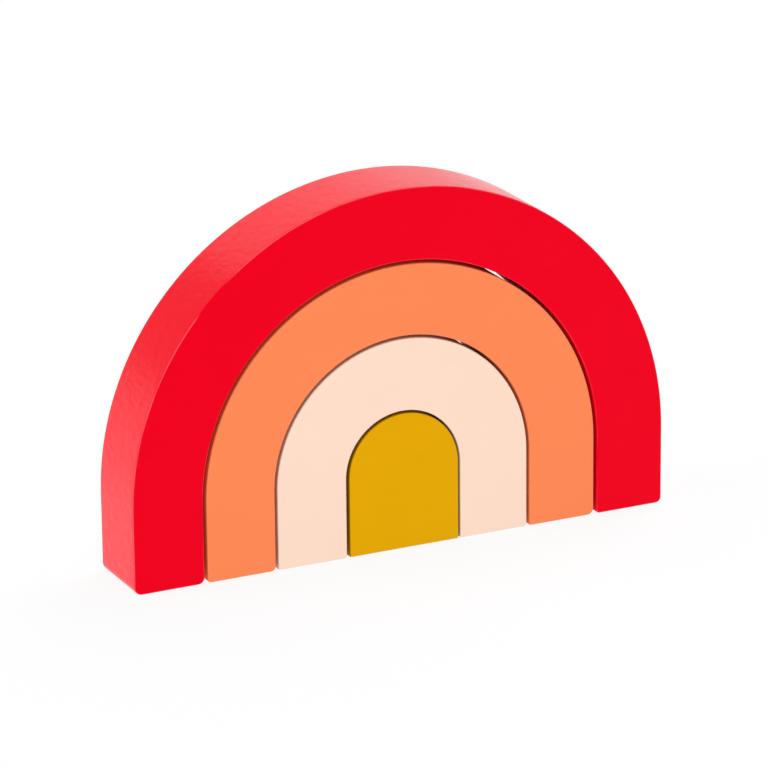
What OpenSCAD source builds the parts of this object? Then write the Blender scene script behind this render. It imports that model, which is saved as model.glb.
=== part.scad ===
// Rainbow stacker: three painted wooden arches that nest over a solid dome core.
// Every piece is loose, cut from one board, and stands on the table by itself.
// X runs across the arches, Y through the board from the front face to the back, Z up.
// The origin is on the table, at the middle of the core's underside.

/* [Board] */
// Thickness of the board that every piece is cut from
board_t = 22.2; // [14:0.1:40]
// Height of the arcs' common centre above the table, which is the length of the straight legs
leg_h = 22.5; // [10:0.5:50]

/* [Bands] */
// Width of the core between its straight sides
core_w = 33; // [20:0.1:60]
// Width of the cream arch's band
cream_band = 20.5; // [8:0.1:40]
// Width of the orange arch's band
orange_band = 20.1; // [8:0.1:40]
// Width of the red arch's band
red_band = 20.45; // [8:0.05:40]

/* [Saw gaps] */
// Gap all round between the core and the cream arch
core_gap = 0.7; // [0.4:0.05:3]
// Gap all round between the cream arch and the orange arch
cream_gap = 0.8; // [0.4:0.05:3]
// Gap all round between the orange arch and the red arch
orange_gap = 0.95; // [0.4:0.05:3]

/* [Rounding] */
// Radius sanded on every front and back edge
edge_r = 0.3; // [0.2:0.1:0.9]
// Radius of the core's foot corners, seen from the front
core_foot_r = 0.5; // [0.3:0.1:4]
// Radius of the cream arch's foot corners, seen from the front
cream_foot_r = 0.7; // [0.3:0.1:4]
// Radius of the orange arch's foot corners, seen from the front
orange_foot_r = 1; // [0.3:0.1:4]
// Radius of the red arch's foot corners, seen from the front
red_foot_r = 1.6; // [0.3:0.1:4]

/* [Hidden] */
core_r = core_w / 2;
cream_r_in = core_r + core_gap;
cream_r_out = cream_r_in + cream_band;
orange_r_in = cream_r_out + cream_gap;
orange_r_out = orange_r_in + orange_band;
red_r_in = orange_r_out + orange_gap;

mustard_paint = [0.90, 0.65, 0.01];
cream_paint = [0.99, 0.87, 0.78];
orange_paint = [1.00, 0.54, 0.34];
red_paint = [0.94, 0.00, 0.13];

$fn = 128;

// What sanding takes off one square edge, drawn round the centre of the sanded radius.
// side and face are 1 or -1 and say which way the edge points.
module sanded_off(side, face) {
    difference() {
        translate([side * edge_r, face * edge_r]) square(2 * edge_r, center = true);
        circle(r = edge_r);
    }
}

// Cross-section of a band of width w, with all four edges sanded
module band_section(w) {
    difference() {
        square([w, board_t], center = true);
        for (side = [-1, 1], face = [-1, 1])
            translate([side * (w / 2 - edge_r), face * (board_t / 2 - edge_r)]) sanded_off(side, face);
    }
}

// Cross-section of reach r from a turning axis, with its two outer edges sanded
module turned_section(r) {
    difference() {
        translate([0, -board_t / 2]) square([r, board_t]);
        for (face = [-1, 1])
            translate([r - edge_r, face * (board_t / 2 - edge_r)]) sanded_off(1, face);
    }
}

// Straight leg of width w on the table, its two foot corners rounded to the radius foot_r.
// A foot corner is never tighter than the sanded edge that runs round it.
module leg(w, foot_r) {
    corner = max(foot_r, edge_r);
    translate([0, 0, corner]) {
        linear_extrude(height = leg_h - corner) band_section(w);
        translate([corner - w / 2, 0, 0])
            rotate([0, 90, 0]) linear_extrude(height = w - 2 * corner) turned_section(corner);
        for (side = [0, 1])
            mirror([side, 0, 0]) translate([w / 2 - corner, 0, 0])
                rotate([90, 0, 0]) rotate([0, 0, -90]) rotate_extrude(angle = 90) turned_section(corner);
    }
}

// Half turn of a cross-section about the arcs' common centre
module half_turn() {
    translate([0, 0, leg_h]) rotate([90, 0, 0]) rotate_extrude(angle = 180) children();
}

// Arch of inside radius r_in: a half ring of width band on two straight legs
module arch(r_in, band, foot_r) {
    mid_r = r_in + band / 2;
    half_turn() translate([mid_r, 0]) band_section(band);
    for (side = [-1, 1])
        translate([side * mid_r, 0, 0]) leg(band, foot_r);
}

// Solid dome in the middle of the set
module core() {
    color(mustard_paint) {
        half_turn() turned_section(core_r);
        leg(core_w, core_foot_r);
    }
}

// Smallest arch, standing over the core
module cream_arch() {
    color(cream_paint) arch(cream_r_in, cream_band, cream_foot_r);
}

// Middle arch, standing over the cream arch
module orange_arch() {
    color(orange_paint) arch(orange_r_in, orange_band, orange_foot_r);
}

// Largest arch, standing over the orange arch
module red_arch() {
    color(red_paint) arch(red_r_in, red_band, red_foot_r);
}

core();
cream_arch();
orange_arch();
red_arch();
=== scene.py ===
"""Rainbow stacker: three painted wooden arches that nest over a dome core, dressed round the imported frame.

Everything is in metres, in the frame's own axes: X across the arches, Y from front to back, Z up.
"""
import math

import bmesh
import bpy
from mathutils import Matrix, Vector


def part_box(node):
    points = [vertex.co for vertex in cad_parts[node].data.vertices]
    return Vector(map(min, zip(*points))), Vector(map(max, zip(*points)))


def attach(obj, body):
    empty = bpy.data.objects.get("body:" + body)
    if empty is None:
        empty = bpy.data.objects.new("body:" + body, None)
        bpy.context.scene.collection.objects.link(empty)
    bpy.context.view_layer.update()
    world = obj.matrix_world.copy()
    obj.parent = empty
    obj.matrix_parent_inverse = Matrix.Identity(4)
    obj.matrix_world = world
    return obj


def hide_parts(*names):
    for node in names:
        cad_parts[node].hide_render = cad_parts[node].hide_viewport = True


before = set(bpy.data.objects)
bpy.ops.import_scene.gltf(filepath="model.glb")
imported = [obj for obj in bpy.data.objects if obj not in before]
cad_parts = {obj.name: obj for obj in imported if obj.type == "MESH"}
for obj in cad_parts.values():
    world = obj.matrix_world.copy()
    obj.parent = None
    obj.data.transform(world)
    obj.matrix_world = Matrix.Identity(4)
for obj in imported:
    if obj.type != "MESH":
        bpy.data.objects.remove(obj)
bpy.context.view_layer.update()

# Sizes that the frame gives
FRONT_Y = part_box("red_arch")[0].y
BACK_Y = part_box("red_arch")[1].y
BOARD_T = BACK_Y - FRONT_Y
# The legs end, and the half turn starts, at the height of the arcs' common centre
LEG_H = round(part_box("red_arch")[1].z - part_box("red_arch")[1].x, 4)

# Sanding: radius of the front and back edges, and of each foot corner from left to right
EDGE_R = 0.0003
FOOT_CORNERS = {
    "core": (0.0004, 0.0005),
    "cream_arch": (0.0004, 0.0009, 0.0004, 0.0009),
    "orange_arch": (0.001, 0.0014, 0.0006, 0.0018),
    "red_arch": (0.0022, 0.0018, 0.001, 0.0016),
}
# How far to each side of its middle a sanded edge is painted lighter, in radians of its quarter turn: partly
# rubbed paint, partly a painted highlight
SANDED_ARC = 0.6
# How far to the right of the middle the loose core was put down
CORE_SHIFT = 0.00018

# How finely the pieces are cut up before they are rounded, and then rounded
ARC_STEPS = 48
BAND_STEPS = 8
LEG_STEPS = 9
DEPTH_STEPS = 9
EDGE_SEGMENTS = 5
FOOT_SEGMENTS = 6
# Lengths under this one count as none
NEAR = 1e-5
# A face is a front or back one when this much of its normal lies along Y
FACING = 0.99


def outside_radius(node):
    """Outer radius of a piece, which is half its width."""
    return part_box(node)[1].x


def inside_radius(node):
    """Inner radius of an arch: how near its legs come to the middle. The core has none."""
    if node == "core":
        return 0
    return min(abs(v.co.x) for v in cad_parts[node].data.vertices if v.co.z < LEG_H)


# Modelling


def pick_edges(piece, wanted):
    """Selects the edges of the piece in edit mode that wanted says yes to, and nothing else."""
    bpy.ops.mesh.select_mode(type="EDGE")
    bpy.ops.mesh.select_all(action="DESELECT")
    mesh = bmesh.from_edit_mesh(piece.data)
    mesh.normal_update()
    for edge in mesh.edges:
        edge.select_set(wanted(edge))
    bmesh.update_edit_mesh(piece.data)


def at_height(edge, z):
    """True on an edge that lies level at the height z."""
    return all(abs(v.co.z - z) < NEAR for v in edge.verts)


def on_outline(edge):
    """True on the edge between a front or back face and a side."""
    flat = [abs(face.normal.y) > FACING for face in edge.link_faces]
    return len(flat) == 2 and flat[0] != flat[1]


def on_foot_corner(edge, x):
    """True on an edge that runs through the board along the sole, at x."""
    through = abs(edge.verts[0].co.y - edge.verts[1].co.y) > NEAR
    return through and at_height(edge, 0) and abs(edge.verts[0].co.x - x) < NEAR


def saw_half(name, r_in, r_out):
    """Front face of a piece's right half: a leg, and a quarter turn up from its top."""
    band = r_out - r_in
    bpy.ops.object.select_all(action="DESELECT")
    bpy.ops.mesh.primitive_grid_add(
        x_subdivisions=BAND_STEPS,
        y_subdivisions=LEG_STEPS,
        size=1,
        location=(r_in + band / 2, FRONT_Y, LEG_H / 2),
        rotation=(math.pi / 2, 0, 0),
    )
    piece = bpy.context.object
    piece.name = piece.data.name = name
    piece.scale = (band, LEG_H, 1)
    bpy.ops.object.transform_apply(location=True, rotation=True, scale=True)
    bpy.ops.object.mode_set(mode="EDIT")
    pick_edges(piece, lambda edge: at_height(edge, LEG_H))
    bpy.ops.mesh.spin(
        steps=ARC_STEPS, angle=math.pi / 2, center=(0, FRONT_Y, LEG_H), axis=(0, 1, 0)
    )
    return piece


def add_modifier(piece, kind, **settings):
    """Adds a modifier to the piece and applies it."""
    bpy.ops.object.mode_set(mode="OBJECT")
    modifier = piece.modifiers.new(kind.lower(), kind)
    for key, value in settings.items():
        setattr(modifier, key, value)
    bpy.ops.object.modifier_apply(modifier=modifier.name)


def thicken(piece):
    """Mirrors the sawn half, and carries the front face back through the board."""
    add_modifier(piece, "MIRROR", use_axis=(True, False, False), merge_threshold=NEAR)
    bpy.ops.object.mode_set(mode="EDIT")
    bpy.ops.mesh.select_all(action="SELECT")
    bpy.ops.mesh.remove_doubles(threshold=NEAR)
    for _ in range(DEPTH_STEPS):
        bpy.ops.mesh.extrude_region_move(
            TRANSFORM_OT_translate={"value": (0, BOARD_T / DEPTH_STEPS, 0)}
        )
    bpy.ops.mesh.select_all(action="SELECT")
    bpy.ops.mesh.normals_make_consistent(inside=False)


def sand(piece, corners):
    """Rounds each foot corner by its own radius, then the front and back edges all the way round."""
    for x, radius in corners:
        pick_edges(piece, lambda edge: on_foot_corner(edge, x))
        bpy.ops.mesh.bevel(offset=radius, segments=FOOT_SEGMENTS, affect="EDGES")
    pick_edges(piece, on_outline)
    bpy.ops.mesh.bevel(offset=EDGE_R, segments=EDGE_SEGMENTS, affect="EDGES")
    bpy.ops.object.mode_set(mode="OBJECT")


def mark(piece, label, value_at):
    """Gives the paint a value at every vertex of the piece."""
    marks = piece.data.attributes.new(label, "FLOAT", "POINT").data
    for vertex, place in zip(piece.data.vertices, marks):
        place.value = value_at(vertex)


def sanded_edge(vertex):
    """1 at the middle of a sanded edge, and 0 from its rims on."""
    lean = math.asin(min(1, abs(vertex.normal.y)))
    return max(0, 1 - abs(lean - math.pi / 4) / SANDED_ARC)


def sawn_side(vertex):
    """1 on the sides that the saw cut, and 0 on the planed front and back."""
    return max(0, 1 - 2 * abs(vertex.normal.y))


def saw_wall(vertex, walls):
    """1 on the walls of the saw gaps, which lie at the radii given."""
    reach = math.hypot(vertex.co.x, max(0, vertex.co.z - LEG_H))
    return any(abs(reach - wall) < EDGE_R / 2 for wall in walls)


def make_piece(name, node, walls, shift=0):
    """Models the piece that dresses a node.

    walls names its sides that face a saw gap. shift is how far it stands to the right of the middle.
    """
    r_in, r_out = inside_radius(node), outside_radius(node)
    piece = saw_half(name, r_in, r_out)
    thicken(piece)
    places = (-r_out, -r_in, r_in, r_out) if r_in else (-r_out, r_out)
    sand(piece, zip(places, FOOT_CORNERS[node]))
    radii = [r_in if wall == "inside" else r_out for wall in walls]
    mark(piece, "sanded_edge", sanded_edge)
    mark(piece, "sawn_side", sawn_side)
    mark(piece, "saw_wall", lambda vertex: saw_wall(vertex, radii))
    piece.location.x = shift
    bpy.ops.object.transform_apply(location=True, rotation=False, scale=False)
    bpy.ops.object.shade_smooth()
    add_modifier(piece, "WEIGHTED_NORMAL", weight=100)
    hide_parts(node)
    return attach(piece, node)


core_dome = make_piece("core_dome", "core", ["outside"], shift=CORE_SHIFT)
cream_band = make_piece("cream_band", "cream_arch", ["inside", "outside"])
orange_band = make_piece("orange_band", "orange_arch", ["inside", "outside"])
red_band = make_piece("red_band", "red_arch", ["inside"])

# Paint

# Where a Mix node keeps its two colours and their mixture
MIX_A, MIX_B, MIX_RESULT = 6, 7, 2

# Features in a metre along X, Y and Z: the grain is long along the board, the blotches through it
GRAIN_SCALE = (35, 480, 480)
BLOTCH_SCALE = (440, 260, 440)
CLOUD_SCALE = 70
FINE_NOISE = {"Scale": 1, "Detail": 3, "Roughness": 0.6}
# Share of clouds in the paint's tone, the rest being grain
CLOUD_SHARE = 0.6
# How far the tone takes the colour to each side of what is written
TONE_SPREAD = 0.03
# The tone from low to high, and the paint's roughness at each end
TONE_TO_ROUGHNESS = {"From Min": 0.3, "From Max": 0.7, "To Min": 0.17, "To Max": 0.27}
SAWN_ROUGHNESS = 0.65
# Where in the clouds the rubbed patches of an edge start and are full
PATCH_RANGE = {"From Min": 0.35, "From Max": 0.6}
# Depth of the relief for a height of 1
RELIEF_DEPTH = 0.00002


def add_node(tree, kind, sockets=None, **settings):
    """Adds a node with the given settings, and with values in the sockets named."""
    node = tree.nodes.new(kind)
    for key, value in settings.items():
        setattr(node, key, value)
    for key, value in (sockets or {}).items():
        node.inputs[key].default_value = value
    return node


def make_brushwork():
    """Node group for paint brushed over sanded wood: what shows of grain and brush, rubbed edges that also
    carry a painted highlight, and the gap walls that take painted shade.
    """
    tree = bpy.data.node_groups.new("brushed_paint", "ShaderNodeTree")
    for label in ("Grain", "Stipple", "Wear And Highlight Amount"):
        tree.interface.new_socket(label, in_out="INPUT", socket_type="NodeSocketFloat")
    for label in ("Tone", "Wear And Highlight", "Gap Shade", "Gloss", "Relief"):
        tree.interface.new_socket(label, in_out="OUTPUT", socket_type="NodeSocketFloat")
    link = tree.links.new
    given = tree.nodes.new("NodeGroupInput")
    result = tree.nodes.new("NodeGroupOutput")
    place = tree.nodes.new("ShaderNodeTexCoord").outputs["Object"]

    # Grain runs along the board, so it is streaks on the faces and flecks on the sawn ends
    along = add_node(tree, "ShaderNodeMapping", {"Scale": GRAIN_SCALE})
    grain = add_node(tree, "ShaderNodeTexNoise", FINE_NOISE)
    link(place, along.inputs["Vector"])
    link(along.outputs["Vector"], grain.inputs["Vector"])
    cloud = add_node(tree, "ShaderNodeTexNoise", {"Scale": CLOUD_SCALE, "Detail": 2})
    link(place, cloud.inputs["Vector"])
    # The brush went across the sides, so its blotches are longer through the board
    through = add_node(tree, "ShaderNodeMapping", {"Scale": BLOTCH_SCALE})
    stipple = add_node(tree, "ShaderNodeTexNoise", FINE_NOISE)
    link(place, through.inputs["Vector"])
    link(through.outputs["Vector"], stipple.inputs["Vector"])

    tone = add_node(tree, "ShaderNodeMix", {"Factor": CLOUD_SHARE}, data_type="FLOAT")
    link(grain.outputs["Fac"], tone.inputs["A"])
    link(cloud.outputs["Fac"], tone.inputs["B"])
    link(tone.outputs["Result"], result.inputs["Tone"])

    gloss = add_node(tree, "ShaderNodeMapRange", TONE_TO_ROUGHNESS)
    link(tone.outputs["Result"], gloss.inputs["Value"])
    # The walls of the saw gaps are left rough from the saw
    wall = add_node(tree, "ShaderNodeAttribute", attribute_name="saw_wall")
    # The same mask goes out for the painted shade on the gap walls
    link(wall.outputs["Fac"], result.inputs["Gap Shade"])
    gap_rough_and_shade = add_node(tree, "ShaderNodeMix", {"B": SAWN_ROUGHNESS}, data_type="FLOAT")
    link(wall.outputs["Fac"], gap_rough_and_shade.inputs["Factor"])
    link(gloss.outputs["Result"], gap_rough_and_shade.inputs["A"])
    link(gap_rough_and_shade.outputs["Result"], result.inputs["Gloss"])

    # The saw lifts the grain on the sides, and the planed front and back stay smooth
    side = add_node(tree, "ShaderNodeAttribute", attribute_name="sawn_side")
    lifted = add_node(tree, "ShaderNodeMath", operation="MULTIPLY")
    link(stipple.outputs["Fac"], lifted.inputs[0])
    link(side.outputs["Fac"], lifted.inputs[1])
    dots = add_node(tree, "ShaderNodeMath", operation="MULTIPLY")
    link(lifted.outputs["Value"], dots.inputs[0])
    link(given.outputs["Stipple"], dots.inputs[1])
    relief = add_node(tree, "ShaderNodeMath", operation="MULTIPLY_ADD")
    link(grain.outputs["Fac"], relief.inputs[0])
    link(given.outputs["Grain"], relief.inputs[1])
    link(dots.outputs["Value"], relief.inputs[2])
    link(relief.outputs["Value"], result.inputs["Relief"])

    # Sanded edges are painted lighter in patches: partly rubbed paint, partly a painted highlight
    edge = add_node(tree, "ShaderNodeAttribute", attribute_name="sanded_edge")
    patches = add_node(tree, "ShaderNodeMapRange", PATCH_RANGE)
    link(cloud.outputs["Fac"], patches.inputs["Value"])
    edge_patches = add_node(tree, "ShaderNodeMath", operation="MULTIPLY")
    link(edge.outputs["Fac"], edge_patches.inputs[0])
    link(patches.outputs["Result"], edge_patches.inputs[1])
    wear_and_highlight = add_node(tree, "ShaderNodeMath", operation="MULTIPLY", use_clamp=True)
    link(edge_patches.outputs["Value"], wear_and_highlight.inputs[0])
    link(given.outputs["Wear And Highlight Amount"], wear_and_highlight.inputs[1])
    link(wear_and_highlight.outputs["Value"], result.inputs["Wear And Highlight"])
    return tree


BRUSHWORK = make_brushwork()


def shade(colour, share):
    """The colour at a share of its brightness, with an alpha of 1."""
    return (*(share * c for c in colour), 1)


def paint(piece, slot, colour, edge_wear_and_highlight, gap_rough_and_shade, brushwork):
    """Satin paint of one colour, going to the colour thin where sanded edges are rubbed: partly wear, and
    partly a painted highlight along the edge.

    sawn is how much of the paint's brightness is left on the walls of the saw gaps, a painted shade that
    darkens the gaps between the pieces.
    brushwork has this paint's own values for the node group.
    """
    material = bpy.data.materials.new(slot)
    material.use_nodes = True
    tree = material.node_tree
    link = tree.links.new
    brushed = add_node(tree, "ShaderNodeGroup", brushwork, node_tree=BRUSHWORK)

    coat = add_node(tree, "ShaderNodeMix", data_type="RGBA")
    coat.inputs[MIX_A].default_value = shade(colour, 1 - TONE_SPREAD)
    coat.inputs[MIX_B].default_value = shade(colour, 1 + TONE_SPREAD)
    link(brushed.outputs["Tone"], coat.inputs["Factor"])
    # Painted highlight and wear: rubbed sanded edges go to the lighter edge colour
    edges = add_node(tree, "ShaderNodeMix", data_type="RGBA")
    edges.inputs[MIX_B].default_value = shade(edge_wear_and_highlight, 1)
    link(brushed.outputs["Wear And Highlight"], edges.inputs["Factor"])
    link(coat.outputs[MIX_RESULT], edges.inputs[MIX_A])
    # Painted shade: the walls of the saw gaps are darkened, so the gaps between the pieces look dark
    walls = add_node(tree, "ShaderNodeMix", data_type="RGBA")
    walls.inputs[MIX_B].default_value = shade(colour, gap_rough_and_shade)
    link(brushed.outputs["Gap Shade"], walls.inputs["Factor"])
    link(edges.outputs[MIX_RESULT], walls.inputs[MIX_A])

    bump = add_node(tree, "ShaderNodeBump", {"Strength": 1, "Distance": RELIEF_DEPTH})
    link(brushed.outputs["Relief"], bump.inputs["Height"])

    shader = tree.nodes["Principled BSDF"]
    shader.inputs["Specular Tint"].default_value = shade(colour, 1)
    link(walls.outputs[MIX_RESULT], shader.inputs["Base Color"])
    link(brushed.outputs["Gloss"], shader.inputs["Roughness"])
    link(bump.outputs["Normal"], shader.inputs["Normal"])

    piece.data.materials.clear()
    piece.data.materials.append(material)


# The lighter edge colours are partly wear and partly a painted highlight, the red's mostly painted
# highlight. The wall shares are painted shade in the saw gaps.
paint(
    core_dome,
    "mustard_paint",
    colour=(0.776, 0.388, 0.0005),
    edge_wear_and_highlight=(0.88, 0.52, 0.09),
    gap_rough_and_shade=0.5,
    brushwork={"Grain": 0.3, "Stipple": 7, "Wear And Highlight Amount": 1},
)
paint(
    cream_band,
    "cream_paint",
    colour=(0.98, 0.725, 0.58),
    edge_wear_and_highlight=(0.99, 0.80, 0.67),
    gap_rough_and_shade=0.82,
    brushwork={"Grain": 0.25, "Stipple": 7, "Wear And Highlight Amount": 0.9},
)
paint(
    orange_band,
    "orange_paint",
    colour=(0.985, 0.252, 0.096),
    edge_wear_and_highlight=(0.99, 0.34, 0.18),
    gap_rough_and_shade=0.88,
    brushwork={"Grain": 0.3, "Stipple": 7, "Wear And Highlight Amount": 1},
)
paint(
    red_band,
    "red_paint",
    colour=(0.87, 0.0003, 0.014),
    edge_wear_and_highlight=(0.95, 0.09, 0.12),
    gap_rough_and_shade=1,
    brushwork={"Grain": 0.3, "Stipple": 7.5, "Wear And Highlight Amount": 2.5},
)

# Floor and light

WHITE = (1, 1, 1, 1)
FLOOR_SIZE = 8
# The floor lies a hair under the soles
FLOOR_Z = -0.00005
FLOOR_COLOUR = (0.92, 0.92, 0.92, 1)
# Share of the floor's look that takes the shadow, the rest being white
SHADOW_SHARE = 0.1
# What the floor throws on the object: its even brightness, and the share of that in the whole
EVEN_LIGHT = 0.8
EVEN_SHARE = 0.85
# The room's brightness at the table's level, and from a little way up
ROOM_LIGHT = {"From Min": 0, "From Max": 0.16, "To Min": 1, "To Max": 0.38}
# Point on the object that the lamps are turned to
LAMP_AIM = Vector((0, 0, 0.05))


def make_floor():
    """White table top. Seen straight or mirrored it glows white, less a share that takes the shadow.

    What it throws on the object is about as bright as its own colour in the lamps' light.
    """
    bpy.ops.object.select_all(action="DESELECT")
    bpy.ops.mesh.primitive_plane_add(size=FLOOR_SIZE, location=(0, 0, FLOOR_Z))
    floor = bpy.context.object
    floor.name = "floor"
    material = bpy.data.materials.new("white_table")
    material.use_nodes = True
    tree = material.node_tree
    link = tree.links.new
    tree.nodes.remove(tree.nodes["Principled BSDF"])
    table = add_node(tree, "ShaderNodeBsdfDiffuse", {"Color": FLOOR_COLOUR})
    glow = add_node(tree, "ShaderNodeEmission", {"Color": WHITE, "Strength": 1})
    seen = add_node(tree, "ShaderNodeMixShader", {"Fac": SHADOW_SHARE})
    link(glow.outputs["Emission"], seen.inputs[1])
    link(table.outputs["BSDF"], seen.inputs[2])
    even = add_node(tree, "ShaderNodeEmission", {"Color": WHITE, "Strength": EVEN_LIGHT})
    thrown = add_node(tree, "ShaderNodeMixShader", {"Fac": EVEN_SHARE})
    link(table.outputs["BSDF"], thrown.inputs[1])
    link(even.outputs["Emission"], thrown.inputs[2])

    ray = add_node(tree, "ShaderNodeLightPath")
    looks = add_node(tree, "ShaderNodeMath", operation="ADD")
    link(ray.outputs["Is Camera Ray"], looks.inputs[0])
    link(ray.outputs["Is Glossy Ray"], looks.inputs[1])
    looks_or_passes = add_node(tree, "ShaderNodeMath", operation="ADD", use_clamp=True)
    link(looks.outputs["Value"], looks_or_passes.inputs[0])
    link(ray.outputs["Is Transmission Ray"], looks_or_passes.inputs[1])
    either = add_node(tree, "ShaderNodeMixShader")
    link(looks_or_passes.outputs["Value"], either.inputs["Fac"])
    link(thrown.outputs["Shader"], either.inputs[1])
    link(seen.outputs["Shader"], either.inputs[2])
    link(either.outputs["Shader"], tree.nodes["Material Output"].inputs["Surface"])
    floor.data.materials.append(material)


def make_studio():
    """The room round the table: white near the table's edge, and dimmer higher up."""
    world = bpy.data.worlds.new("studio")
    bpy.context.scene.world = world
    world.use_nodes = True
    tree = world.node_tree
    link = tree.links.new
    way = tree.nodes.new("ShaderNodeTexCoord").outputs["Generated"]
    parts = add_node(tree, "ShaderNodeSeparateXYZ")
    link(way, parts.inputs["Vector"])
    height = add_node(tree, "ShaderNodeMapRange", ROOM_LIGHT)
    link(parts.outputs["Z"], height.inputs["Value"])
    backdrop = tree.nodes["Background"]
    backdrop.inputs["Strength"].default_value = 1
    link(height.outputs["Result"], backdrop.inputs["Color"])


def turned_to(place, target):
    """Matrix of a lamp or camera that stands at place and looks at target."""
    return Matrix.Translation(place) @ (target - place).to_track_quat("-Z", "Y").to_matrix().to_4x4()


def soft_box(name, place, size, strength, mirrored=True):
    """Area lamp of the given width and height, turned to the object.

    strength is its brightness, and mirrored says whether the paint shows it.
    """
    data = bpy.data.lights.new(name, "AREA")
    data.shape = "RECTANGLE"
    data.size, data.size_y = size
    data.energy = strength * math.pi * size[0] * size[1]
    lamp = bpy.data.objects.new(name, data)
    lamp.visible_camera = False
    lamp.visible_glossy = mirrored
    bpy.context.scene.collection.objects.link(lamp)
    lamp.matrix_world = turned_to(Vector(place), LAMP_AIM)


make_floor()
make_studio()
soft_box("left_soft_box", (-1.3, 0.15, 0.6), (0.9, 0.9), 4.5)
# Mirrored, the front lamp would whiten the red top seen from behind
soft_box("front_soft_box", (-0.15, -1.7, 0.2), (1.0, 0.36), 9.6, mirrored=False)
soft_box("top_soft_box", (0.9, 0.4, 1.25), (1.2, 1.2), 3.8)
soft_box("back_soft_box", (0.28, 1.15, 0.6), (1.2, 0.72), 0.62)

# Camera, at the photograph's view

VIEW_FROM = Vector((-0.5536, -1.15625, 0.48083))
VIEW_AT = Vector((-0.00033, 0.0, 0.0441))
VIEW_ROLL = math.radians(-0.563)
LENS = 232.84
SENSOR_WIDTH = 36


def make_camera():
    """Camera fitted to the edges in the photograph."""
    data = bpy.data.cameras.new("photo_view")
    data.sensor_width = SENSOR_WIDTH
    data.lens = LENS
    data.clip_start, data.clip_end = 0.05, 30
    camera = bpy.data.objects.new("photo_view", data)
    bpy.context.scene.collection.objects.link(camera)
    camera.matrix_world = turned_to(VIEW_FROM, VIEW_AT) @ Matrix.Rotation(VIEW_ROLL, 4, "Z")
    bpy.context.scene.camera = camera


make_camera()
bpy.context.scene.view_settings.view_transform = "Standard"
